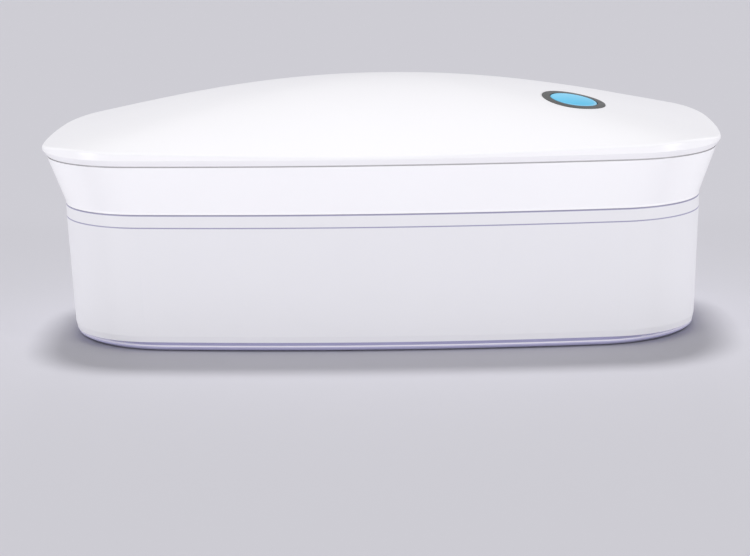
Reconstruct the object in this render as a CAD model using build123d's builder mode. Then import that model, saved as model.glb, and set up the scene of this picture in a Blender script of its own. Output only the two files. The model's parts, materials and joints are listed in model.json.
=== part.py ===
from build123d import *
from math import cos, hypot, pi, sin, sqrt
import os

# UV sterilizer box: a bowed tub under a hinged, crowned lid with a sprung power button.
# Millimetres. The origin is on the floor under the middle of the case, X runs along the
# length, Y from front to back, Z up, and the lid is closed.

# Case outline in plan
case_length = 220.0
case_depth = 110.0
end_bow = 5.7
side_bow = 6.6
rim_corner = 33.6
seam_corner = 32.7
body_corner = 29.7
foot_corner = 35.0

# Heights, stacked from the floor up
foot_height = 0.5
tray_height = 2.5
tub_height = 37.05
gasket_thickness = 0.4
collar_height = 3.55
parting_gap = 0.1
flare_height = 15.9
rim_rise = 2.3
edge_rise = 0.7
crown_rise = 18.75

# How far the levels stand in from the widest line of the lid
seam_inset = 1.35
body_inset = 6.45
tub_draft = 1.3

# Crown: contours at the rim (2 would make ellipses, more is squarer), fall from the crest,
# and the round at its edge
crown_squareness = 8.0
crown_fall = 1.93
crown_round = 0.9

# Walls of the base
tub_wall = 2.2
tub_floor = 2.0
floor_lift = 4.0
tub_chamfer = 0.4
tub_chamfer_height = 2.0
tub_inner_round = 3.0
tray_floor = 1.2
tray_neck = 0.35
tray_neck_height = 1.05
tray_edge_height = 0.4
tray_chamfer = 0.7
tray_rim = 4.0
liner_thickness = 0.7
liner_gap = 0.2
liner_drop = 0.3

# Collar on top of the tub
collar_width = 3.8
tongue_depth = 2.6
tongue_gap = 0.1
lip_height = 2.05
lip_width = 1.3

# Feet and the screws above them
foot_radius = 5.5
foot_pocket = 0.6
foot_chamfer = 0.25
foot_spacing_x = 156.0
foot_spacing_y = 56.0
base_screw_radius = 1.1
base_screw_head_radius = 2.2
base_screw_head_height = 1.4
base_screw_length = 5.0
base_cup_wall = 1.6
base_cup_height = 3.6
screw_room = 0.15

# Walls of the lid
lid_wall = 2.0
frame_land = 0.7
seam_slot = 0.35
seam_depth = 0.6
seam_edge = 0.1
ledge_width = 3.0
ledge_thickness = 1.5
joint_flange = 1.5
joint_tongue = 1.2
joint_tongue_depth = 2.0
snap_gap = 0.15

# Inner panel, the ceiling of the chamber
panel_recess = 2.25
panel_thickness = 2.4
panel_gap = 0.3
reflector_thickness = 0.3
reflector_border = 3.0
screw_recess = 1.3
screw_recess_radius = 2.6

# Screws that hold the panel, frame and cover together
lid_screw_radius = 1.1
lid_screw_head_radius = 2.2
lid_screw_head_height = 1.2
lid_screw_length = 8.0
lid_post_radius = 3.4
end_post_gap = 8.0
side_post_gap = 4.0
side_post_x = 45.0

# Ultraviolet light strip
window_end_margin = 40.0
window_width = 16.0
window_thickness = 1.2
window_rebate = 2.0
window_fit = 0.2
led_count = 6
led_size = 3.5
led_corner = 0.4
led_height = 1.2
led_board_overhang = 10.0
led_board_width = 12.0
led_board_corner = 2.0
led_board_thickness = 1.6
led_post_height = 2.8
led_post_radius = 1.9
led_post_inset = 4.0

# Control board, its chips (x and y from the board's middle, length, width) and the socket
board_length = 70.0
board_width = 26.0
board_thickness = 1.6
board_post_height = 3.0
board_post_radius = 2.4
board_post_inset_x = 4.0
board_post_inset_y = 7.0
board_wall_gap = 1.5
board_corner = 1.0
chip_height = 1.0
chip_layout = [
    (-14.0, 0.0, 7.0, 7.0),
    (6.0, -5.2, 5.0, 6.2),
    (14.0, 2.2, 4.0, 4.0),
    (-22.0, -6.5, 3.0, 1.6),
    (22.0, -6.5, 3.0, 1.6),
]
socket_width = 9.0
socket_height = 3.2
socket_length = 7.4
socket_wall = 0.3
socket_overhang = 3.6
socket_tongue_width = 6.6
socket_tongue_thickness = 0.7
socket_hole_gap = 0.7
small_screw_radius = 0.8
small_screw_head_radius = 1.6
small_screw_head_height = 1.0
small_screw_length = 4.0

# Cross recess of every screw, as shares of its head
recess_reach = 1.2
recess_slot = 0.36
recess_depth = 0.6

# Battery cell and its holder
cell_radius = 9.15
cell_length = 65.0
cell_gap = 0.3
holder_wall = 1.5
holder_end = 2.5
holder_height = 14.0
contact_room = 2.0
contact_thickness = 0.5
contact_gap = 0.1
contact_radius = 3.5
holder_board_gap = 3.0
holder_x = -2.0

# Magnets
magnet_length = 8.0
magnet_width = 3.0
magnet_height = 2.6
magnet_wall = 1.0
magnet_fit = 0.05
lid_magnet_height = 1.6
magnet_x = 68.0
sensor_magnet_x = 26.0
sensor_magnet_length = 4.0
sensor_size = 3.0
sensor_height = 1.2

# Hinges
hinge_x = 48.0
hinge_width = 16.0
ear_width = 4.0
knuckle_radius = 3.0
knuckle_side_gap = 0.2
hinge_gap = 0.8
hinge_pin_radius = 1.25
ear_pin_gap = 0.02
knuckle_pin_gap = 0.06
hinge_web_bite = 0.6
hinge_web_rise = 1.5

# Power button
button_x = 62.3
button_y = -17.6
bezel_radius = 10.3
bezel_gap = 0.1
bezel_flange_radius = 12.8
bezel_flange = 1.2
bezel_seat = 3.0
bezel_lip = 2.4
bezel_proud = 0.15
seat_radius = 14.0
cap_radius = 7.65
cap_gap = 0.15
cap_crown = 0.35
cap_edge_round = 0.5
cap_flange_width = 0.75
cap_flange = 1.2
cap_flange_gap = 0.1
cap_stem_radius = 2.2
cap_stem_length = 1.3
button_travel = 0.6
plunger_radius = 1.6
plunger_gap = 0.15
plunger_length = 2.6
plunger_bite = 1.6
switch_size = 6.0
switch_floor = 0.2
switch_margin = 0.2
button_board_length = 28.0
button_board_width = 14.0
button_board_thickness = 1.2
leg_radius = 1.8
button_led_length = 2.8
button_led_width = 3.5
button_led_height = 1.9
button_led_y = 5.0

# Small overlap that makes joined volumes meet and cuts break through
over = 1.0

# Heights worked out from the stack
tray_bottom = foot_height
tub_bottom = tray_bottom + tray_height
tub_top = tub_bottom + tub_height
collar_bottom = tub_top + gasket_thickness
collar_top = collar_bottom + collar_height
lid_bottom = collar_top + gasket_thickness + parting_gap
seam_height = lid_bottom + flare_height
rim_height = seam_height + rim_rise
crown_edge = rim_height + edge_rise
crown_top = crown_edge + crown_rise
tub_floor_bottom = tub_bottom + floor_lift
tub_floor_top = tub_floor_bottom + tub_floor
lip_top = collar_top + lip_height
panel_bottom = lid_bottom + panel_recess
panel_top = panel_bottom + panel_thickness
base_cup_top = tray_bottom + base_cup_height
base_screw_seat = tray_bottom + foot_pocket + base_screw_head_height + screw_room
lip_outer = collar_width - lip_width
liner_outer = tub_wall + liner_gap
liner_inner = liner_outer + liner_thickness
liner_top = collar_bottom - tongue_depth - liner_drop
half_length = case_length / 2
half_depth = case_depth / 2


def round_levels(level, radius, bands=3):
    """Levels that round the lower edge of a block that starts at the given level."""
    height, inset, corner = level
    levels = []
    for i in range(bands):
        angle = i / bands * pi / 2
        drawn_in = radius * (1 - sin(angle))
        levels.append((height + radius * (1 - cos(angle)), inset + drawn_in, corner - drawn_in))
    return levels


def case_level(height, inset, corner, wall=0.0):
    """Bowed, round-cornered outline of the case at one height, drawn in by a wall."""
    long_reach = half_length - inset - wall
    deep_reach = half_depth - inset - wall
    corner_x = long_reach - end_bow
    corner_y = deep_reach - side_bow
    with BuildSketch(Plane.XY.offset(height)) as level:
        with BuildLine():
            ThreePointArc((-corner_x, corner_y), (0, deep_reach), (corner_x, corner_y))
            ThreePointArc((corner_x, corner_y), (long_reach, 0), (corner_x, -corner_y))
            ThreePointArc((corner_x, -corner_y), (0, -deep_reach), (-corner_x, -corner_y))
            ThreePointArc((-corner_x, -corner_y), (-long_reach, 0), (-corner_x, corner_y))
        make_face()
        fillet(level.vertices(), radius=corner - wall)
    return level.sketch


def case_block(levels, wall=0.0):
    """Solid through a stack of case outlines, each given as height, inset and corner."""
    with BuildPart() as block:
        loft([case_level(*level, wall) for level in levels], ruled=True)
    return block.part


def side_y(x, inset):
    """Distance from the middle line to the back side at x, at a level with this inset."""
    reach = half_depth - inset
    chord = half_length - inset - end_bow
    bow_radius = (chord**2 + side_bow**2) / (2 * side_bow)
    return reach - bow_radius + sqrt(bow_radius**2 - x**2)


def flare_level(height):
    """Outline of the lid's flared skirt at any height between the land and the seam."""
    land_top = lid_bottom + frame_land
    share = (height - land_top) / (seam_height - seam_edge - land_top)
    inset = body_inset + share * (seam_inset - body_inset)
    corner = body_corner + share * (seam_corner - body_corner)
    return (height, inset, corner)


def crown_height(x, y):
    """Height of the crown: round contours at the crest, squarer ones towards the rim."""
    across = hypot(x / half_length, y / half_depth)
    powers = abs(x / half_length) ** crown_squareness + abs(y / half_depth) ** crown_squareness
    square = powers ** (1 / crown_squareness)
    reach = across + (square - across) * square
    return crown_edge + crown_rise * (1 - reach**crown_fall)


def crown_face(drop=0.0):
    """Crown surface lowered by a drop and carried a little past the rim."""
    columns = 24
    rows = 16
    span_x = case_length + 4 * over
    span_y = case_depth + 4 * over
    grid = []
    for i in range(columns + 1):
        x = span_x * (i / columns - 0.5)
        ys = [span_y * (j / rows - 0.5) for j in range(rows + 1)]
        grid.append([Vector(x, y, crown_height(x, y) - drop) for y in ys])
    return Face.make_surface_from_array_of_points(grid, min_deg=3)


def under_crown(drop=0.0):
    """Everything between the floor and the crown surface lowered by a drop."""
    with BuildPart() as below:
        extrude(crown_face(drop), amount=crown_top, dir=(0, 0, -1))
    return below.part


def screw_set(plane, points, head_radius, head_height, shank_radius, length):
    """Pan-head screws with a cross recess, seated on a plane and pointing along its normal."""
    with BuildPart() as screws:
        with BuildSketch(plane):
            with Locations(*points):
                Circle(head_radius)
        extrude(amount=-head_height)
        with BuildSketch(plane):
            with Locations(*points):
                Circle(shank_radius)
        extrude(amount=length)
        with BuildSketch(plane.offset(-head_height)):
            with Locations(*points):
                Rectangle(head_radius * recess_reach, head_radius * recess_slot)
                Rectangle(head_radius * recess_slot, head_radius * recess_reach)
        extrude(amount=head_height * recess_depth, mode=Mode.SUBTRACT)
    return screws.part


def floor_plane(height, up=1):
    """Level plane at a height, facing up (1) or down (-1)."""
    return Plane(origin=(0, 0, height), x_dir=(1, 0, 0), z_dir=(0, 0, up))


def mirrored(points):
    """The same points as a plane that faces down counts them."""
    return [(x, -y) for x, y in points]


def z_posts(points, bottom, top, radius):
    """Upright round posts between two heights."""
    with BuildPart() as posts:
        with BuildSketch(Plane.XY.offset(bottom)):
            with Locations(*points):
                Circle(radius)
        extrude(amount=top - bottom)
    return posts.part


# Places that several pieces share
foot_points = [
    (sx * foot_spacing_x / 2, sy * foot_spacing_y / 2) for sx in (-1, 1) for sy in (-1, 1)
]
end_post_x = half_length - body_inset - lid_wall - end_post_gap - lid_post_radius
side_post_y = side_y(side_post_x, body_inset) - lid_wall - side_post_gap - lid_post_radius
post_points = [(-end_post_x, 0), (end_post_x, 0)]
post_points += [(sx * side_post_x, sy * side_post_y) for sx in (-1, 1) for sy in (-1, 1)]

# Base: moulded tub with a raised floor, closed below by a translucent tray
tub_levels = [
    (tub_bottom, body_inset + tub_draft + tub_chamfer, body_corner),
    (tub_bottom + tub_chamfer_height, body_inset + tub_draft, body_corner),
    (tub_top, body_inset, body_corner),
]


def tub_level(height):
    """Outline of the drafted tub wall at any height above its bottom chamfer."""
    start = tub_bottom + tub_chamfer_height
    share = (height - start) / (tub_top - start)
    return (height, body_inset + tub_draft * (1 - share), body_corner)


with BuildPart() as base_tub:
    add(case_block(tub_levels))
    chamber_levels = round_levels(tub_level(tub_floor_top), tub_inner_round)
    chamber_levels += [tub_level(tub_floor_top + tub_inner_round), tub_level(tub_top + over)]
    add(case_block(chamber_levels, tub_wall), mode=Mode.SUBTRACT)
    cellar_levels = [tub_level(tub_bottom - over), tub_level(tub_floor_bottom)]
    add(case_block(cellar_levels, tub_wall), mode=Mode.SUBTRACT)
    add(z_posts(foot_points, base_cup_top, tub_floor_bottom + over,
                base_screw_head_radius + base_cup_wall))
    pilot_top = base_screw_seat + base_screw_length + screw_room
    add(z_posts(foot_points, tray_bottom, pilot_top, base_screw_radius), mode=Mode.SUBTRACT)
base_tub.part.label = "base_tub"

# Translucent tray: a shallow plate whose edge stands out below a neck, with screw cups
tray_inset = body_inset + tub_draft + tub_chamfer
tray_edge_top = tub_bottom - tray_neck_height - tray_neck
with BuildPart() as base_tray:
    add(case_block([
        (tray_bottom, tray_inset + tray_chamfer, foot_corner),
        (tray_edge_top - tray_edge_height, tray_inset, foot_corner),
        (tray_edge_top, tray_inset, foot_corner),
        (tray_edge_top + tray_neck, tray_inset + tray_neck, foot_corner),
        (tub_bottom, tray_inset, body_corner),
    ]))
    add(case_block([
        (tray_bottom + tray_floor, tray_inset, body_corner),
        (tub_bottom + over, tray_inset, body_corner),
    ], tray_rim), mode=Mode.SUBTRACT)
    add(z_posts(foot_points, tray_bottom, base_cup_top, base_screw_head_radius + base_cup_wall))
    add(z_posts(foot_points, tray_bottom - over, tray_bottom + foot_pocket, foot_radius + screw_room),
        mode=Mode.SUBTRACT)
    add(z_posts(foot_points, tray_bottom, base_screw_seat, base_screw_head_radius + screw_room),
        mode=Mode.SUBTRACT)
    add(z_posts(foot_points, tray_bottom, base_cup_top + over, base_screw_radius + screw_room),
        mode=Mode.SUBTRACT)
base_tray.part.label = "base_tray"

with BuildPart() as base_screws:
    add(screw_set(floor_plane(base_screw_seat), foot_points, base_screw_head_radius,
                  base_screw_head_height, base_screw_radius, base_screw_length))
base_screws.part.label = "base_screws"

with BuildPart() as rubber_feet:
    with BuildSketch(Plane.XY):
        with Locations(*foot_points):
            Circle(foot_radius)
    extrude(amount=foot_height + foot_pocket)
    chamfer(rubber_feet.edges().group_by(Axis.Z)[0], length=foot_chamfer)
rubber_feet.part.label = "rubber_feet"

# Bright liner that lines the chamber and throws the light around what lies in it
with BuildPart() as tub_liner:
    skin_levels = round_levels(tub_level(tub_floor_top), tub_inner_round)
    skin_levels += [tub_level(tub_floor_top + tub_inner_round), tub_level(liner_top)]
    add(case_block(skin_levels, liner_outer))
    cavity_floor = tub_floor_top + liner_thickness
    cavity_levels = round_levels(tub_level(cavity_floor), tub_inner_round)
    cavity_levels += [tub_level(cavity_floor + tub_inner_round), tub_level(liner_top + over)]
    add(case_block(cavity_levels, liner_inner), mode=Mode.SUBTRACT)
tub_liner.part.label = "tub_liner"


def case_ring(levels, outer_wall, inner_wall):
    """Upright ring through case outlines, between two inward offsets of them."""
    below = (levels[0][0] - over, *levels[0][1:])
    above = (levels[-1][0] + over, *levels[-1][1:])
    with BuildPart() as ring:
        add(case_block(levels, outer_wall))
        add(case_block([below, *levels, above], inner_wall), mode=Mode.SUBTRACT)
    return ring.part


def body_levels(bottom, top):
    """Two outlines of the upright band of the case, where collar and lid meet."""
    return [(bottom, body_inset, body_corner), (top, body_inset, body_corner)]


# Hinge line at the back, just outside the case wall
hinge_near_x = hinge_x - hinge_width / 2
hinge_far_x = hinge_x + hinge_width / 2
hinge_axis_y = side_y(hinge_near_x, body_inset) + knuckle_radius + hinge_gap
hinge_axis_z = (collar_top + lid_bottom) / 2
hinge_root_y = side_y(hinge_far_x, body_inset) - hinge_web_bite
knuckle_width = hinge_width - 2 * (ear_width + knuckle_side_gap)


def hinge_lobes(centres, width, web_points):
    """Round hinge lobes about the hinge line, each with a web back to the case wall."""
    with BuildPart() as lobes:
        for centre in centres:
            with BuildSketch(Plane.YZ.offset(centre)):
                with Locations((hinge_axis_y, hinge_axis_z)):
                    Circle(knuckle_radius)
                with BuildLine():
                    Polyline(*web_points, close=True)
                make_face()
            extrude(amount=width / 2, both=True)
    return lobes.part


def hinge_bores(radius):
    """Bores along the hinge line, through every lobe."""
    with BuildPart() as bores:
        for sx in (-1, 1):
            with BuildSketch(Plane.YZ.offset(sx * hinge_x)):
                with Locations((hinge_axis_y, hinge_axis_z)):
                    Circle(radius)
            extrude(amount=hinge_width / 2 + over, both=True)
    return bores.part


# Magnet housings stand inside the collar; the lid magnets lie right above them
housing_width = magnet_width + 2 * magnet_wall
magnet_spots = []
for sx in (-1, 1):
    wall_y = side_y(magnet_x + magnet_length / 2 + magnet_wall, body_inset) - collar_width
    magnet_spots.append((sx * magnet_x, -wall_y + housing_width / 2, magnet_length))
wall_y = side_y(sensor_magnet_x + sensor_magnet_length / 2 + magnet_wall, body_inset)
sensor_spot = (sensor_magnet_x, wall_y - collar_width - housing_width / 2, sensor_magnet_length)
magnet_floor = lip_top - magnet_height

# Collar: the light grey band, with a tongue into the tub, a light-trap lip and hinge ears
with BuildPart() as rim_collar:
    add(case_ring(body_levels(collar_bottom, collar_top), 0, collar_width))
    add(case_ring(body_levels(collar_bottom - tongue_depth, collar_bottom + over),
                  tub_wall + tongue_gap, collar_width))
    add(case_ring(body_levels(collar_top - over, lip_top), lip_outer, collar_width))
    for x, y, length in magnet_spots + [sensor_spot]:
        with BuildSketch(Plane.XY.offset(collar_bottom - tongue_depth)):
            with Locations((x, y)):
                Rectangle(length + 2 * magnet_wall, housing_width + 2 * over)
        extrude(amount=lip_top - collar_bottom + tongue_depth)
    ears = []
    for sx in (-1, 1):
        for side in (-1, 1):
            ears.append(sx * hinge_x + side * (hinge_width - ear_width) / 2)
    ear_web = [
        (hinge_root_y, collar_top),
        (hinge_root_y, collar_bottom + gasket_thickness),
        (hinge_axis_y, hinge_axis_z - knuckle_radius),
        (hinge_axis_y, collar_top),
    ]
    add(hinge_lobes(ears, ear_width, ear_web))
    add(hinge_bores(hinge_pin_radius + ear_pin_gap), mode=Mode.SUBTRACT)
    for x, y, length in magnet_spots + [sensor_spot]:
        with BuildSketch(Plane.XY.offset(magnet_floor)):
            with Locations((x, y)):
                Rectangle(length + 2 * magnet_fit, magnet_width + 2 * magnet_fit)
        extrude(amount=magnet_height + over, mode=Mode.SUBTRACT)
rim_collar.part.label = "rim_collar"

with BuildPart() as collar_gasket:
    add(case_ring(body_levels(tub_top, collar_bottom), 0, tub_wall))
collar_gasket.part.label = "collar_gasket"

with BuildPart() as lid_gasket:
    add(case_ring(body_levels(collar_top, collar_top + gasket_thickness), 0,
                  lip_outer - tongue_gap))
lid_gasket.part.label = "lid_gasket"

with BuildPart() as base_magnets:
    for x, y, length in magnet_spots:
        with BuildSketch(Plane.XY.offset(magnet_floor)):
            with Locations((x, y)):
                Rectangle(length, magnet_width)
        extrude(amount=magnet_height)
base_magnets.part.label = "base_magnets"

with BuildPart() as sensor_magnet:
    with BuildSketch(Plane.XY.offset(magnet_floor)):
        with Locations(sensor_spot[:2]):
            Rectangle(sensor_magnet_length, magnet_width)
    extrude(amount=magnet_height)
sensor_magnet.part.label = "sensor_magnet"

with BuildPart() as hinge_pins:
    for sx in (-1, 1):
        with BuildSketch(Plane.YZ.offset(sx * hinge_x)):
            with Locations((hinge_axis_y, hinge_axis_z)):
                Circle(hinge_pin_radius)
        extrude(amount=hinge_width / 2, both=True)
hinge_pins.part.label = "hinge_pins"

# Lid frame: the white flared skirt, with a ledge for the panel and the lid's hinge lobes
board_bottom = panel_top + board_post_height
board_top = board_bottom + board_thickness
socket_z = board_top + socket_height / 2
socket_level = flare_level(socket_z)
board_back = side_y(board_length / 2, flare_level(board_top)[1]) - lid_wall - board_wall_gap
socket_back = board_back + socket_overhang
with BuildPart() as lid_frame:
    add(case_block([
        (lid_bottom, body_inset, body_corner),
        flare_level(lid_bottom + frame_land),
        flare_level(seam_height - seam_edge),
        (seam_height, seam_inset + seam_edge, seam_corner),
    ]))
    lobe_spots = [-hinge_x, hinge_x]
    web_top = hinge_axis_z + knuckle_radius + hinge_web_rise
    lobe_web = [
        (hinge_root_y, lid_bottom),
        (hinge_root_y + hinge_web_bite, web_top),
        (hinge_axis_y, hinge_axis_z + knuckle_radius),
        (hinge_axis_y, lid_bottom),
    ]
    add(hinge_lobes(lobe_spots, knuckle_width, lobe_web))
    add(hinge_bores(hinge_pin_radius + knuckle_pin_gap), mode=Mode.SUBTRACT)
    add(case_block([
        (lid_bottom - over, body_inset, body_corner),
        flare_level(lid_bottom + frame_land),
        flare_level(seam_height + over),
    ], lid_wall), mode=Mode.SUBTRACT)
    add(case_ring([flare_level(panel_top), flare_level(panel_top + ledge_thickness)],
                  lid_wall / 2, lid_wall + ledge_width))
    with BuildSketch(Plane.XZ.offset(-half_depth)):
        with Locations((0, socket_z)):
            SlotOverall(socket_width + 2 * socket_hole_gap, socket_height + 2 * socket_hole_gap)
    extrude(amount=socket_level[1] + lid_wall + 2 * over, mode=Mode.SUBTRACT)
lid_frame.part.label = "lid_frame"

# Button axis: square to the crown where the button sits
near_end = crown_height(button_x + bezel_radius, button_y)
far_end = crown_height(button_x - bezel_radius, button_y)
near_back = crown_height(button_x, button_y + bezel_radius)
near_front = crown_height(button_x, button_y - bezel_radius)
slope_x = (near_end - far_end) / (2 * bezel_radius)
slope_y = (near_back - near_front) / (2 * bezel_radius)
button_plane = Plane(
    origin=(button_x, button_y, crown_height(button_x, button_y)),
    x_dir=(1, 0, slope_x),
    z_dir=(-slope_x, -slope_y, 1),
)
button_profile = Plane(
    origin=button_plane.origin, x_dir=button_plane.x_dir, z_dir=-button_plane.y_dir
)
button_axis = Axis(button_plane.origin, button_plane.z_dir)

# Lid cover: crowned shell over a narrow shadow slot, with a flange and tongue at the seam,
# screw posts and the flat seat of the button bezel
rim_levels = [(rim_height, 0, rim_corner), (crown_top + over, 0, rim_corner)]
cover_levels = [
    (seam_height, seam_inset + seam_depth, seam_corner - seam_depth),
    (seam_height + seam_slot - seam_edge, seam_inset + seam_depth, seam_corner - seam_depth),
    (seam_height + seam_slot, seam_inset, seam_corner),
    *rim_levels,
]
with BuildPart() as cover_hollow:
    add(case_block([(seam_height + joint_flange, seam_inset, seam_corner), *rim_levels], lid_wall))
    add(under_crown(lid_wall), mode=Mode.INTERSECT)

with BuildPart() as cover_fittings:
    add(z_posts(post_points, panel_top, crown_top, lid_post_radius))
    with BuildSketch(button_plane.offset(-bezel_seat)):
        Circle(seat_radius)
    extrude(amount=bezel_seat)
    add(under_crown(lid_wall / 2), mode=Mode.INTERSECT)

lid_screw_seat = panel_bottom + screw_recess
with BuildPart() as lid_cover:
    add(case_block(cover_levels))
    add(under_crown(), mode=Mode.INTERSECT)
    fillet(lid_cover.faces().sort_by(Axis.Z)[-1].edges(), radius=crown_round)
    add(cover_hollow.part, mode=Mode.SUBTRACT)
    tongue_bottom = seam_height - joint_tongue_depth
    tongue_levels = [flare_level(tongue_bottom), flare_level(seam_height + joint_flange / 2)]
    add(case_block(tongue_levels, lid_wall + snap_gap))
    mouth_levels = [flare_level(tongue_bottom - over), flare_level(seam_height + joint_flange + over)]
    add(case_block(mouth_levels, lid_wall + snap_gap + joint_tongue), mode=Mode.SUBTRACT)
    add(cover_fittings.part)
    with BuildSketch(button_plane.offset(-bezel_seat - over)):
        Circle(bezel_radius + bezel_gap)
    extrude(amount=bezel_seat + 3 * over, mode=Mode.SUBTRACT)
    pilot_top = lid_screw_seat + lid_screw_length + screw_room
    add(z_posts(post_points, panel_top - over, pilot_top, lid_screw_radius), mode=Mode.SUBTRACT)
lid_cover.part.label = "lid_cover"

# Ceiling of the chamber, with the window rebate and the posts of what it carries
window_length = case_length - 2 * window_end_margin
led_board_length = window_length + 2 * led_board_overhang
led_post_points = [(sx * (led_board_length / 2 - led_post_inset), 0) for sx in (-1, 1)]
board_post_points = []
for sx in (-1, 1):
    board_post_x = sx * (board_length / 2 - board_post_inset_x)
    board_post_points.append((board_post_x, board_back - board_post_inset_y))
    board_post_points.append((board_post_x, board_back - board_width + board_post_inset_x))
led_board_bottom = panel_top + led_post_height
magnet_pocket = panel_top - lid_magnet_height
with BuildPart() as lid_inner_panel:
    add(case_block(body_levels(panel_bottom, panel_top), lid_wall + panel_gap))
    with BuildSketch(Plane.XY.offset(panel_bottom - over)):
        SlotOverall(window_length - 2 * window_rebate, window_width - 2 * window_rebate)
    extrude(amount=panel_thickness + 2 * over, mode=Mode.SUBTRACT)
    with BuildSketch(Plane.XY.offset(panel_top - window_thickness)):
        SlotOverall(window_length + 2 * window_fit, window_width + 2 * window_fit)
    extrude(amount=window_thickness + over, mode=Mode.SUBTRACT)
    add(z_posts(board_post_points, panel_top - over, board_bottom, board_post_radius))
    add(z_posts(board_post_points, panel_top, board_bottom + over, small_screw_radius),
        mode=Mode.SUBTRACT)
    add(z_posts(led_post_points, panel_top - over, led_board_bottom, led_post_radius))
    add(z_posts(led_post_points, panel_bottom + over, led_board_bottom + over,
                small_screw_radius), mode=Mode.SUBTRACT)
    add(z_posts(post_points, panel_bottom - over, lid_screw_seat, screw_recess_radius),
        mode=Mode.SUBTRACT)
    add(z_posts(post_points, panel_bottom, panel_top + over, lid_screw_radius + screw_room),
        mode=Mode.SUBTRACT)
    for x, y, length in magnet_spots:
        with BuildSketch(Plane.XY.offset(magnet_pocket)):
            with Locations((x, y)):
                Rectangle(length + 2 * magnet_fit, magnet_width + 2 * magnet_fit)
        extrude(amount=lid_magnet_height + over, mode=Mode.SUBTRACT)
lid_inner_panel.part.label = "lid_inner_panel"

with BuildPart() as lid_magnets:
    for x, y, length in magnet_spots:
        with BuildSketch(Plane.XY.offset(magnet_pocket)):
            with Locations((x, y)):
                Rectangle(length, magnet_width)
        extrude(amount=lid_magnet_height)
lid_magnets.part.label = "lid_magnets"

with BuildPart() as lid_screws:
    add(screw_set(floor_plane(lid_screw_seat), post_points, lid_screw_head_radius,
                  lid_screw_head_height, lid_screw_radius, lid_screw_length))
lid_screws.part.label = "lid_screws"

# Bright sheet under the panel, cut out for the window and the screw heads
with BuildPart() as uv_reflector:
    add(case_block(body_levels(panel_bottom - reflector_thickness, panel_bottom),
                   lid_wall + panel_gap + reflector_border))
    with BuildSketch(Plane.XY.offset(panel_bottom - reflector_thickness - over)):
        SlotOverall(window_length - 2 * window_rebate, window_width - 2 * window_rebate)
        with Locations(*post_points):
            Circle(screw_recess_radius)
    extrude(amount=reflector_thickness + 2 * over, mode=Mode.SUBTRACT)
uv_reflector.part.label = "uv_reflector"

with BuildPart() as uv_window:
    with BuildSketch(Plane.XY.offset(panel_top - window_thickness)):
        SlotOverall(window_length, window_width)
    extrude(amount=window_thickness)
uv_window.part.label = "uv_window"

# Light strip above the window, on two posts past the window's ends
with BuildPart() as uv_led_board:
    with BuildSketch(Plane.XY.offset(led_board_bottom)):
        RectangleRounded(led_board_length, led_board_width, led_board_corner)
        with Locations(*led_post_points):
            Circle(small_screw_radius + screw_room, mode=Mode.SUBTRACT)
    extrude(amount=led_board_thickness)
uv_led_board.part.label = "uv_led_board"

with BuildPart() as uv_leds:
    with BuildSketch(Plane.XY.offset(led_board_bottom - led_height)):
        with GridLocations(window_length / led_count, 1, led_count, 1):
            RectangleRounded(led_size, led_size, led_corner)
    extrude(amount=led_height)
uv_leds.part.label = "uv_leds"

# Control board at the back, with its chips and the charging socket at its edge
board_middle = board_back - board_width / 2
with BuildPart() as control_board:
    with BuildSketch(Plane.XY.offset(board_bottom)):
        with Locations((0, board_middle)):
            RectangleRounded(board_length, board_width, board_corner)
        with Locations(*board_post_points):
            Circle(small_screw_radius + screw_room, mode=Mode.SUBTRACT)
    extrude(amount=board_thickness)
control_board.part.label = "control_board"

with BuildPart() as board_chips:
    with BuildSketch(Plane.XY.offset(board_top)):
        for dx, dy, chip_length, chip_width in chip_layout:
            with Locations((dx, board_middle + dy)):
                Rectangle(chip_length, chip_width)
    extrude(amount=chip_height)
board_chips.part.label = "board_chips"

with BuildPart() as usb_socket:
    with BuildSketch(Plane.XZ.offset(-socket_back)):
        with Locations((0, socket_z)):
            SlotOverall(socket_width, socket_height)
            SlotOverall(socket_width - 2 * socket_wall, socket_height - 2 * socket_wall,
                        mode=Mode.SUBTRACT)
    extrude(amount=socket_length)
    with BuildSketch(Plane.XZ.offset(-socket_back + socket_length - over)):
        with Locations((0, socket_z)):
            SlotOverall(socket_width, socket_height)
    extrude(amount=over)
    with BuildSketch(Plane.XZ.offset(-socket_back + over)):
        with Locations((0, socket_z)):
            Rectangle(socket_tongue_width, socket_tongue_thickness)
    extrude(amount=socket_length - over)
usb_socket.part.label = "usb_socket"

# Lid sensor hangs under the board, right above the small magnet in the collar
with BuildPart() as lid_sensor:
    with BuildSketch(Plane.XY.offset(board_bottom - sensor_height)):
        with Locations(sensor_spot[:2]):
            Rectangle(sensor_size, sensor_size)
    extrude(amount=sensor_height)
lid_sensor.part.label = "lid_sensor"

with BuildPart() as board_screws:
    add(screw_set(floor_plane(board_top, -1), mirrored(board_post_points),
                  small_screw_head_radius, small_screw_head_height, small_screw_radius,
                  small_screw_length))
board_screws.part.label = "board_screws"

with BuildPart() as uv_board_screws:
    add(screw_set(floor_plane(led_board_bottom + led_board_thickness, -1), led_post_points,
                  small_screw_head_radius, small_screw_head_height, small_screw_radius,
                  small_screw_length))
uv_board_screws.part.label = "uv_board_screws"

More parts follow.
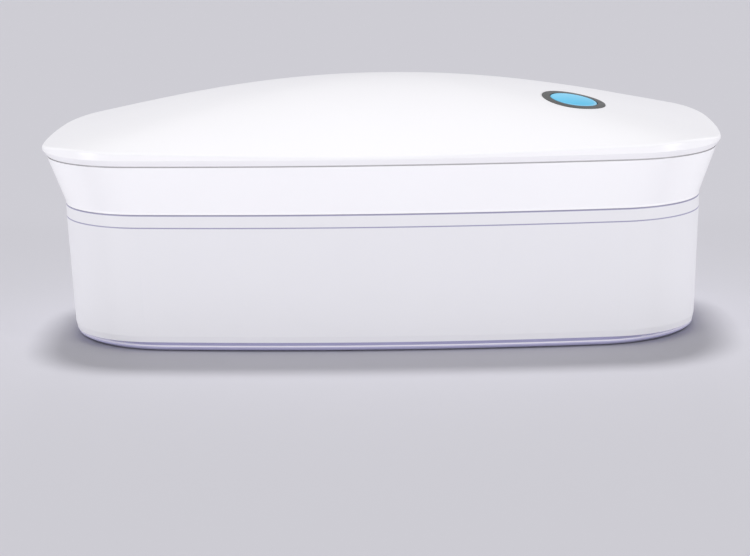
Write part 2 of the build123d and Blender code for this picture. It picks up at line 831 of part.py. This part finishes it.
# Battery: one round cell in an open holder beside the light strip
cell_bay = 2 * (cell_radius + cell_gap)
holder_width = cell_bay + 2 * holder_wall
holder_y = -(led_board_width / 2 + holder_board_gap + holder_width / 2)
holder_length = cell_length + 2 * (contact_room + holder_end)
cell_z = panel_top + holder_wall + cell_radius + cell_gap
with BuildPart() as battery_holder:
    with BuildSketch(Plane.XY.offset(panel_top)):
        with Locations((holder_x, holder_y)):
            Rectangle(holder_length, holder_width)
    extrude(amount=holder_height)
    with BuildSketch(Plane.YZ.offset(holder_x)):
        with Locations((holder_y, cell_z)):
            Circle(cell_bay / 2)
        with Locations((holder_y, cell_z + cell_bay / 2)):
            Rectangle(cell_bay, cell_bay)
    extrude(amount=cell_length / 2 + contact_room, both=True, mode=Mode.SUBTRACT)
battery_holder.part.label = "battery_holder"

with BuildPart() as battery_cell:
    with BuildSketch(Plane.YZ.offset(holder_x - cell_length / 2)):
        with Locations((holder_y, cell_z)):
            Circle(cell_radius)
    extrude(amount=cell_length)
    chamfer(battery_cell.edges(), length=contact_thickness)
battery_cell.part.label = "battery_cell"

with BuildPart() as battery_contacts:
    for sx in (-1, 1):
        end_x = holder_x + sx * (cell_length / 2 + contact_room)
        with BuildSketch(Plane.YZ.offset(end_x)):
            with Locations((holder_y, cell_z)):
                Circle(contact_radius)
        extrude(amount=-sx * contact_thickness)
        with BuildSketch(Plane.YZ.offset(end_x)):
            with Locations((holder_y, cell_z)):
                Circle(contact_radius / 2)
        extrude(amount=-sx * (contact_room - contact_gap))
battery_contacts.part.label = "battery_contacts"

# Power button, drawn as profiles beside the button axis and turned about it
cap_flange_radius = cap_radius + cap_flange_width
cap_flange_top = -(bezel_lip + cap_flange_gap)
cap_bottom = cap_flange_top - cap_flange
stem_bottom = cap_bottom - cap_stem_length
plunger_top = stem_bottom
plunger_bottom = plunger_top - plunger_length
switch_top = plunger_bottom + plunger_bite
switch_bottom = plunger_bottom - button_travel - switch_margin - switch_floor
flange_bottom = -(bezel_seat + bezel_flange)
leg_x = cap_flange_radius + cap_gap + leg_radius
with BuildPart() as button_bezel:
    with BuildSketch(button_profile):
        with BuildLine():
            Polyline(
                (cap_radius + cap_gap, bezel_seat),
                (cap_radius + cap_gap, -bezel_lip),
                (cap_flange_radius + cap_gap, -bezel_lip),
                (cap_flange_radius + cap_gap, flange_bottom),
                (bezel_flange_radius, flange_bottom),
                (bezel_flange_radius, -bezel_seat),
                (bezel_radius, -bezel_seat),
                (bezel_radius, bezel_seat),
                close=True,
            )
        make_face()
    revolve(axis=button_axis)
    add(under_crown(-bezel_proud), mode=Mode.INTERSECT)
    with BuildSketch(button_plane.offset(switch_bottom)):
        with Locations((-leg_x, 0), (leg_x, 0)):
            Circle(leg_radius)
    extrude(amount=flange_bottom - switch_bottom)
    with BuildSketch(button_plane.offset(switch_bottom)):
        with Locations((-leg_x, 0), (leg_x, 0)):
            Circle(small_screw_radius)
    extrude(amount=small_screw_length, mode=Mode.SUBTRACT)
button_bezel.part.label = "button_bezel"

cap_dome_radius = (cap_radius**2 + cap_crown**2) / (2 * cap_crown)
with BuildPart() as power_button:
    with BuildSketch(button_profile):
        with BuildLine():
            Polyline(
                (0, over),
                (0, stem_bottom),
                (cap_stem_radius, stem_bottom),
                (cap_stem_radius, cap_bottom),
                (cap_flange_radius, cap_bottom),
                (cap_flange_radius, cap_flange_top),
                (cap_radius, cap_flange_top),
                (cap_radius, over),
                close=True,
            )
        make_face()
    revolve(axis=button_axis)
    with Locations(button_plane.offset(cap_crown - cap_dome_radius).origin):
        Sphere(cap_dome_radius, rotation=(90, 0, 0), mode=Mode.INTERSECT)
    dome_face = power_button.faces().filter_by(GeomType.SPHERE)[0]
    fillet(dome_face.edges(), radius=cap_edge_round)
power_button.part.label = "power_button"

with BuildPart() as switch_plunger:
    with BuildSketch(button_plane.offset(plunger_bottom)):
        Circle(plunger_radius)
    extrude(amount=plunger_length)
switch_plunger.part.label = "switch_plunger"

with BuildPart() as tact_switch:
    with BuildSketch(button_plane.offset(switch_bottom)):
        Rectangle(switch_size, switch_size)
    extrude(amount=switch_top - switch_bottom)
    with BuildSketch(button_plane.offset(switch_bottom + switch_floor)):
        Circle(plunger_radius + plunger_gap)
    extrude(amount=switch_top - switch_bottom, mode=Mode.SUBTRACT)
tact_switch.part.label = "tact_switch"

with BuildPart() as button_board:
    with BuildSketch(button_plane.offset(switch_bottom)):
        RectangleRounded(button_board_length, button_board_width, board_corner)
        with Locations((-leg_x, 0), (leg_x, 0)):
            Circle(small_screw_radius + screw_room, mode=Mode.SUBTRACT)
    extrude(amount=-button_board_thickness)
button_board.part.label = "button_board"

with BuildPart() as button_screws:
    add(screw_set(button_plane.offset(switch_bottom - button_board_thickness),
                  [(-leg_x, 0), (leg_x, 0)], small_screw_head_radius, small_screw_head_height,
                  small_screw_radius, small_screw_length))
button_screws.part.label = "button_screws"

with BuildPart() as button_leds:
    with BuildSketch(button_plane.offset(switch_bottom)):
        with Locations((0, -button_led_y), (0, button_led_y)):
            Rectangle(button_led_width, button_led_length)
    extrude(amount=button_led_height)
button_leds.part.label = "button_leds"

pieces = [
    base_tub, base_tray, base_screws, rubber_feet, tub_liner, rim_collar, collar_gasket,
    lid_gasket, base_magnets, sensor_magnet, hinge_pins, lid_frame, lid_cover,
    lid_inner_panel, lid_magnets, lid_screws, uv_reflector, uv_window, uv_led_board, uv_leds,
    uv_board_screws, control_board, board_chips, usb_socket, lid_sensor, board_screws,
    battery_holder, battery_cell, battery_contacts, button_bezel, power_button,
    switch_plunger, tact_switch, button_board, button_screws, button_leds,
]
os.makedirs("parts", exist_ok=True)
for piece in pieces:
    export_step(piece.part, f"parts/{piece.part.label}.step")
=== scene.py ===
import json
from math import cos, pi, radians, sin

import bpy
from mathutils import Matrix, Vector


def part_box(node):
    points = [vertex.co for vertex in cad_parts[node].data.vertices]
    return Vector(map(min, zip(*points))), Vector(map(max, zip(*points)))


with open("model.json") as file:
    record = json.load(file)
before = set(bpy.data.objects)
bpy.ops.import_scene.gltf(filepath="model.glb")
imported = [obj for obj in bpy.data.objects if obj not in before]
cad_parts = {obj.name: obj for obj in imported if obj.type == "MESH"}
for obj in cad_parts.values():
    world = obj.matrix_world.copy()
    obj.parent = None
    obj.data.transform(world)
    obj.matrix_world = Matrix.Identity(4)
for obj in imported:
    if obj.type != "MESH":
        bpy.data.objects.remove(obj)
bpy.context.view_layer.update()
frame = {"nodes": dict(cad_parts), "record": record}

# Width of the photograph, in pixels
IMAGE_WIDTH = 750

# Camera, in metres and degrees: place, turn to the left, tilt down and roll
CAMERA_PLACE = (0.02159, -0.747085, 0.176065)
CAMERA_TURN = 1.897
CAMERA_TILT = 12.263
CAMERA_ROLL = -1.163

# Lens: focal length in the photograph's pixels, sensor in millimetres, nearest view in metres
FOCAL_PIXELS = 2286.4
SENSOR_WIDTH = 36.0
NEAREST_VIEW = 0.01

# Background as linear colour, and how much brighter the floor's own colour is
BACKDROP = (0.617, 0.610, 0.658)
FLOOR_LIFT = 1.037
FLOOR_ROUGHNESS = 0.9
FLOOR_HALF_SIDE = 6.0

# Lamps: share of plain light that each gives, where 1 shows a colour as it is written
WORLD_LIGHT = 0.42
TOP_LIGHT = 0.505
SIDE_LIGHT = 0.575
BACK_LIGHT = 0.25

# Directions of the lamps, in degrees: turn from the front, height above the floor
BEHIND = 180
SIDE_TURN = 60
TOP_HEIGHT = 74
SIDE_HEIGHT = 2
BACK_HEIGHT = 4

# Widths of the lamps as the object sees them, in degrees: the narrow ones stand at the horizon
TOP_DISC = 12
LOW_DISC = 8

# Heights in metres of the slot under the lid's rim and of the tray's shoulder
SLOT = (0.06034, 0.06078)
TRAY_SHOULDER = (0.0016, 0.00195)
BAND_BLUR = 0.00002

# Painted shade in the slot, painted highlight on the shoulder, paler foot leaving the neck as
# painted shade
SLOT_SHADE = (0.58, 0.57, 0.59)
SHOULDER_PAINTED_HIGHLIGHT = (0.92, 0.90, 0.98)
FOOT_PALER_LILAC = (0.46, 0.45, 0.66)

# Part of a noise's range that holds most of its values
NOISE_MIDDLE = (0.3, 0.7)

# Waves per metre of the patches in roughness and of the fine reliefs
ROUGH_WAVES = 400
RELIEF_WAVES = 2500
METAL_WAVES = 6000
BUTTON_WAVES = 4000
GLASS_WAVES = 300

# Detail of the noises, in octaves
DRIFT_DETAIL = 2.0
GRAIN_DETAIL = 3.0
ROUGH_DETAIL = 4.0

# Moulded and sheet finishes: colour, its darkest share, waves of its drift per metre, roughness
SURFACES = {
    "lid_plastic": dict(
        colour=(0.95, 0.942, 0.97), shade=0.992, waves=30, rough=(0.28, 0.31),
        relief=0.0000004, Coat_Weight=0.15, Coat_Roughness=0.12,
    ),
    "body_plastic": dict(
        colour=(0.80, 0.794, 0.832), shade=0.99, waves=30, rough=(0.5, 0.55), relief=0.0000006,
    ),
    "tinted_base": dict(
        colour=(0.36, 0.35, 0.54), shade=0.96, waves=80, rough=(0.14, 0.2),
        Coat_Weight=0.5, Coat_Roughness=0.05,
    ),
    "panel_plastic": dict(colour=(0.85, 0.85, 0.87), shade=0.97, waves=60, rough=(0.4, 0.5)),
    "tinted_seal": dict(colour=(0.36, 0.35, 0.50), shade=0.93, waves=80, rough=(0.4, 0.5)),
    "foot_rubber": dict(colour=(0.10, 0.10, 0.11), shade=0.85, waves=300, rough=(0.6, 0.75)),
    "bezel_plastic": dict(colour=(0.08, 0.083, 0.076), shade=0.9, waves=200, rough=(0.38, 0.48)),
    "chip_plastic": dict(colour=(0.025, 0.025, 0.027), shade=0.8, waves=500, rough=(0.45, 0.55)),
    "holder_plastic": dict(colour=(0.03, 0.03, 0.032), shade=0.85, waves=200, rough=(0.4, 0.5)),
    "plunger_plastic": dict(colour=(0.04, 0.04, 0.042), shade=0.85, waves=300, rough=(0.4, 0.5)),
    "circuit_board": dict(colour=(0.02, 0.14, 0.055), shade=0.7, waves=900, rough=(0.22, 0.3)),
    "light_board": dict(colour=(0.82, 0.82, 0.80), shade=0.96, waves=300, rough=(0.3, 0.4)),
    "led_package": dict(colour=(0.80, 0.74, 0.52), shade=0.9, waves=900, rough=(0.3, 0.4)),
    "cell_wrap": dict(colour=(0.05, 0.16, 0.42), shade=0.85, waves=120, rough=(0.2, 0.3)),
}

# Metal finishes: colour and least roughness, with a grain that runs along x where it is stretched
METALS = {
    "bright_liner": dict(
        colour=(0.88, 0.88, 0.90), rough=0.2, stretch=(0.02, 1, 1),
        shade=0.97, waves=25, relief=0.0000005,
    ),
    "screw_steel": dict(colour=(0.62, 0.62, 0.61), rough=0.26),
    "pin_steel": dict(colour=(0.66, 0.66, 0.66), rough=0.2, stretch=(0.05, 1, 1)),
    "magnet_plating": dict(colour=(0.70, 0.69, 0.67), rough=0.14),
    "socket_steel": dict(colour=(0.68, 0.68, 0.69), rough=0.22),
    "contact_steel": dict(colour=(0.74, 0.72, 0.66), rough=0.2),
}


def make_camera():
    """Camera at the photograph's viewing angle."""
    data = bpy.data.cameras.new("photo_camera")
    data.sensor_width = SENSOR_WIDTH
    data.lens = SENSOR_WIDTH * FOCAL_PIXELS / IMAGE_WIDTH
    data.clip_start = NEAREST_VIEW
    camera = bpy.data.objects.new("photo_camera", data)
    turn = Matrix.Rotation(radians(CAMERA_TURN), 4, "Z")
    tilt = Matrix.Rotation(radians(90 - CAMERA_TILT), 4, "X")
    roll = Matrix.Rotation(radians(CAMERA_ROLL), 4, "Z")
    camera.matrix_world = Matrix.Translation(CAMERA_PLACE) @ turn @ tilt @ roll
    bpy.context.scene.collection.objects.link(camera)
    bpy.context.scene.camera = camera


def make_sun(name, share, turn, height, disc):
    """Far lamp that gives a share of plain light, turned from the front by an angle."""
    data = bpy.data.lights.new(name, "SUN")
    data.angle = radians(disc)
    data.energy = share * pi
    lamp = bpy.data.objects.new(name, data)
    around = radians(turn)
    up = radians(height)
    towards = Vector((cos(up) * sin(around), -cos(up) * cos(around), sin(up)))
    lamp.rotation_euler = towards.to_track_quat("Z", "Y").to_euler()
    bpy.context.scene.collection.objects.link(lamp)
    return lamp


def make_lamps():
    """Top lamp, two in front of the sides and one behind; those behind the box cast no gloss."""
    top_lamp = make_sun("top_lamp", TOP_LIGHT, BEHIND, TOP_HEIGHT, TOP_DISC)
    top_lamp.visible_glossy = False
    make_sun("left_lamp", SIDE_LIGHT, -SIDE_TURN, SIDE_HEIGHT, LOW_DISC)
    make_sun("right_lamp", SIDE_LIGHT, SIDE_TURN, SIDE_HEIGHT, LOW_DISC)
    back_lamp = make_sun("back_lamp", BACK_LIGHT, BEHIND, BACK_HEIGHT, LOW_DISC)
    back_lamp.visible_glossy = False


def make_world():
    """Even surround; the camera, gloss and glass see it as the backdrop."""
    world = bpy.data.worlds.new("studio")
    bpy.context.scene.world = world
    world.use_nodes = True
    tree = world.node_tree
    tree.nodes.clear()
    output = tree.nodes.new("ShaderNodeOutputWorld")
    mix = tree.nodes.new("ShaderNodeMixShader")
    path = tree.nodes.new("ShaderNodeLightPath")
    light = tree.nodes.new("ShaderNodeBackground")
    light.inputs["Color"].default_value = (1.0, 1.0, 1.0, 1.0)
    light.inputs["Strength"].default_value = WORLD_LIGHT
    seen = tree.nodes.new("ShaderNodeBackground")
    seen.inputs["Color"].default_value = (*BACKDROP, 1.0)
    shows = path.outputs["Is Camera Ray"]
    for ray in ("Is Glossy Ray", "Is Transmission Ray"):
        shows = combine(tree, "MAXIMUM", shows, path.outputs[ray])
    tree.links.new(shows, mix.inputs[0])
    tree.links.new(light.outputs[0], mix.inputs[1])
    tree.links.new(seen.outputs[0], mix.inputs[2])
    tree.links.new(mix.outputs[0], output.inputs[0])


def make_floor():
    """Pale plain floor under the box."""
    half = FLOOR_HALF_SIDE
    mesh = bpy.data.meshes.new("floor")
    corners = [(-half, -half, 0), (half, -half, 0), (half, half, 0), (-half, half, 0)]
    mesh.from_pydata(corners, [], [(0, 1, 2, 3)])
    floor = bpy.data.objects.new("floor", mesh)
    bpy.context.scene.collection.objects.link(floor)
    material, shader = new_material("floor_paper")
    shader.inputs["Base Color"].default_value = (*(FLOOR_LIFT * c for c in BACKDROP), 1.0)
    shader.inputs["Roughness"].default_value = FLOOR_ROUGHNESS
    shader.inputs["Specular IOR Level"].default_value = 0.0
    mesh.materials.append(material)


def new_material(name):
    """Material with one Principled shader; gives the material and the shader."""
    material = bpy.data.materials.new(name)
    material.use_nodes = True
    return material, material.node_tree.nodes["Principled BSDF"]


def combine(tree, operation, first, second):
    """Result of a sum, product or like operation on two values."""
    node = tree.nodes.new("ShaderNodeMath")
    node.operation = operation
    tree.links.new(first, node.inputs[0])
    tree.links.new(second, node.inputs[1])
    return node.outputs[0]


def map_range(tree, value, start, end, low=0.0, high=1.0):
    """Maps start to end onto low to high, and holds the value between them."""
    node = tree.nodes.new("ShaderNodeMapRange")
    node.inputs["From Min"].default_value = start
    node.inputs["From Max"].default_value = end
    node.inputs["To Min"].default_value = low
    node.inputs["To Max"].default_value = high
    tree.links.new(value, node.inputs["Value"])
    return node.outputs["Result"]


def noise(tree, waves, detail=DRIFT_DETAIL, stretch=(1.0, 1.0, 1.0)):
    """Noise in the object's own metres, with so many waves per metre."""
    place = tree.nodes.new("ShaderNodeTexCoord")
    mapping = tree.nodes.new("ShaderNodeMapping")
    mapping.inputs["Scale"].default_value = stretch
    texture = tree.nodes.new("ShaderNodeTexNoise")
    texture.inputs["Scale"].default_value = waves
    texture.inputs["Detail"].default_value = detail
    tree.links.new(place.outputs["Object"], mapping.inputs["Vector"])
    tree.links.new(mapping.outputs["Vector"], texture.inputs["Vector"])
    return texture.outputs["Fac"]


def spread(tree, value, low, high):
    """Maps the middle of a noise to a range."""
    return map_range(tree, value, *NOISE_MIDDLE, low, high)


def two_tone(tree, factor, first, second):
    """Colour between two, by a factor; the first may be another node's output."""
    node = tree.nodes.new("ShaderNodeMix")
    node.data_type = "RGBA"
    if isinstance(first, bpy.types.NodeSocket):
        tree.links.new(first, node.inputs["A"])
    else:
        node.inputs["A"].default_value = (*first, 1.0)
    node.inputs["B"].default_value = (*second, 1.0)
    tree.links.new(factor, node.inputs["Factor"])
    return node.outputs["Result"]


def drift(tree, colour, shade, waves):
    """Colour that drifts slowly down to a darker share of itself."""
    darker = [c * shade for c in colour]
    return two_tone(tree, spread(tree, noise(tree, waves), 0.0, 1.0), darker, colour)


def paint_height_band(material, low, high, colour):
    """Paints the surface between two heights of the object another colour; the finishes use it
    for painted shade, a painted highlight and a paler foot.
    """
    tree = material.node_tree
    place = tree.nodes.new("ShaderNodeTexCoord")
    split = tree.nodes.new("ShaderNodeSeparateXYZ")
    tree.links.new(place.outputs["Object"], split.inputs["Vector"])
    height = split.outputs["Z"]
    above = map_range(tree, height, low - BAND_BLUR, low + BAND_BLUR)
    below = map_range(tree, height, high + BAND_BLUR, high - BAND_BLUR)
    within = combine(tree, "MULTIPLY", above, below)
    socket = tree.nodes["Principled BSDF"].inputs["Base Color"]
    under = socket.links[0].from_socket
    tree.links.new(two_tone(tree, within, under, colour), socket)


def bump(tree, height, depth, shader):
    """Fine relief of the surface, in metres."""
    node = tree.nodes.new("ShaderNodeBump")
    node.inputs["Strength"].default_value = 1.0
    node.inputs["Distance"].default_value = depth
    tree.links.new(height, node.inputs["Height"])
    tree.links.new(node.outputs["Normal"], shader.inputs["Normal"])


def surface(name, colour, shade, waves, rough, relief=0.0000012, **sockets):
    """Moulded or sheet surface: slow colour drift, patchy roughness and a fine relief."""
    material, shader = new_material(name)
    tree = material.node_tree
    tree.links.new(drift(tree, colour, shade, waves), shader.inputs["Base Color"])
    patch = spread(tree, noise(tree, ROUGH_WAVES, ROUGH_DETAIL), *rough)
    tree.links.new(patch, shader.inputs["Roughness"])
    bump(tree, noise(tree, RELIEF_WAVES), relief, shader)
    for socket, value in sockets.items():
        shader.inputs[socket.replace("_", " ")].default_value = value
    return material


def metal(name, colour, rough, stretch=(1.0, 1.0, 1.0), shade=0.9, waves=150, relief=0.000003):
    """Bare or plated metal with a fine grain, which also makes it rougher in places."""
    roughest = 1.4 * rough
    material, shader = new_material(name)
    tree = material.node_tree
    shader.inputs["Metallic"].default_value = 1.0
    tree.links.new(drift(tree, colour, shade, waves), shader.inputs["Base Color"])
    grain = noise(tree, METAL_WAVES, GRAIN_DETAIL, stretch)
    tree.links.new(spread(tree, grain, rough, roughest), shader.inputs["Roughness"])
    bump(tree, grain, relief, shader)
    return material


def button_material():
    """Blue cap lit from behind, with painted highlights: paler towards the upper left, and a
    duller pale blue round its edge.
    """
    # Painted highlights over the cap's own deep blue; the glow takes the same colours
    deep = (0.013, 0.43, 0.70)
    highlight_blue = (0.12, 0.60, 0.88)
    edge_highlight_blue = (0.18, 0.53, 0.76)
    highlight_slant = (-0.4, 0.5, 0)
    slant_end = 0.5
    edge_start = 0.82
    edge_end = 0.91
    material, shader = new_material("button_plastic")
    tree = material.node_tree

    # Place on the cap, counted from its middle in radii of its flange
    low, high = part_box("power_button")
    middle = (low + high) / 2
    radius = (high.x - low.x) / 2
    place = tree.nodes.new("ShaderNodeTexCoord")
    shift = tree.nodes.new("ShaderNodeMapping")
    shift.inputs["Location"].default_value = (-middle.x / radius, -middle.y / radius, 0)
    shift.inputs["Scale"].default_value = (1 / radius, 1 / radius, 0)
    tree.links.new(place.outputs["Object"], shift.inputs["Vector"])

    across = tree.nodes.new("ShaderNodeVectorMath")
    across.operation = "DOT_PRODUCT"
    across.inputs[1].default_value = highlight_slant
    tree.links.new(shift.outputs["Vector"], across.inputs[0])
    painted_highlight = map_range(tree, across.outputs["Value"], -slant_end, slant_end)
    reach = tree.nodes.new("ShaderNodeVectorMath")
    reach.operation = "LENGTH"
    tree.links.new(shift.outputs["Vector"], reach.inputs[0])
    edge_highlight_mask = map_range(tree, reach.outputs["Value"], edge_start, edge_end)
    colour = two_tone(tree, edge_highlight_mask, two_tone(tree, painted_highlight, deep, highlight_blue), edge_highlight_blue)

    tree.links.new(colour, shader.inputs["Base Color"])
    tree.links.new(colour, shader.inputs["Emission Color"])
    shader.inputs["Emission Strength"].default_value = 0.18
    shader.inputs["Roughness"].default_value = 0.32
    shader.inputs["Coat Weight"].default_value = 0.3
    shader.inputs["Coat Roughness"].default_value = 0.1
    bump(tree, noise(tree, BUTTON_WAVES), 0.000004, shader)
    return material


def glass_material():
    """Clear window with a faint violet tint."""
    rough = (0.02, 0.07)
    material, shader = new_material("window_glass")
    shader.inputs["Base Color"].default_value = (0.90, 0.88, 1.0, 1.0)
    shader.inputs["Transmission Weight"].default_value = 0.95
    shader.inputs["IOR"].default_value = 1.46
    tree = material.node_tree
    patch = spread(tree, noise(tree, GLASS_WAVES), *rough)
    tree.links.new(patch, shader.inputs["Roughness"])
    return material


def make_finishes():
    """One finish for each material slot of the part."""
    finishes = {name: surface(name, **look) for name, look in SURFACES.items()}
    finishes.update({name: metal(name, **look) for name, look in METALS.items()})
    finishes["window_glass"] = glass_material()
    finishes["button_plastic"] = button_material()
    # Painted shade in the slot under the lid's rim
    paint_height_band(finishes["lid_plastic"], *SLOT, SLOT_SHADE)
    # Paler lilac on the tray's foot, so that its neck under the tub stays darker as painted shade
    paint_height_band(finishes["tinted_base"], 0, TRAY_SHOULDER[0], FOOT_PALER_LILAC)
    # Painted highlight on the tray's shoulder
    paint_height_band(finishes["tinted_base"], *TRAY_SHOULDER, SHOULDER_PAINTED_HIGHLIGHT)
    return finishes


def dress_nodes(finishes):
    """Puts each slot's finish on the CAD nodes that use it."""
    for subpart in frame["record"]["subparts"]:
        mesh = frame["nodes"][subpart["node"]].data
        mesh.materials.clear()
        mesh.materials.append(finishes[subpart["material_slot"]])


make_camera()
make_world()
make_lamps()
make_floor()
dress_nodes(make_finishes())

scene = bpy.context.scene
scene.view_settings.view_transform = "Standard"
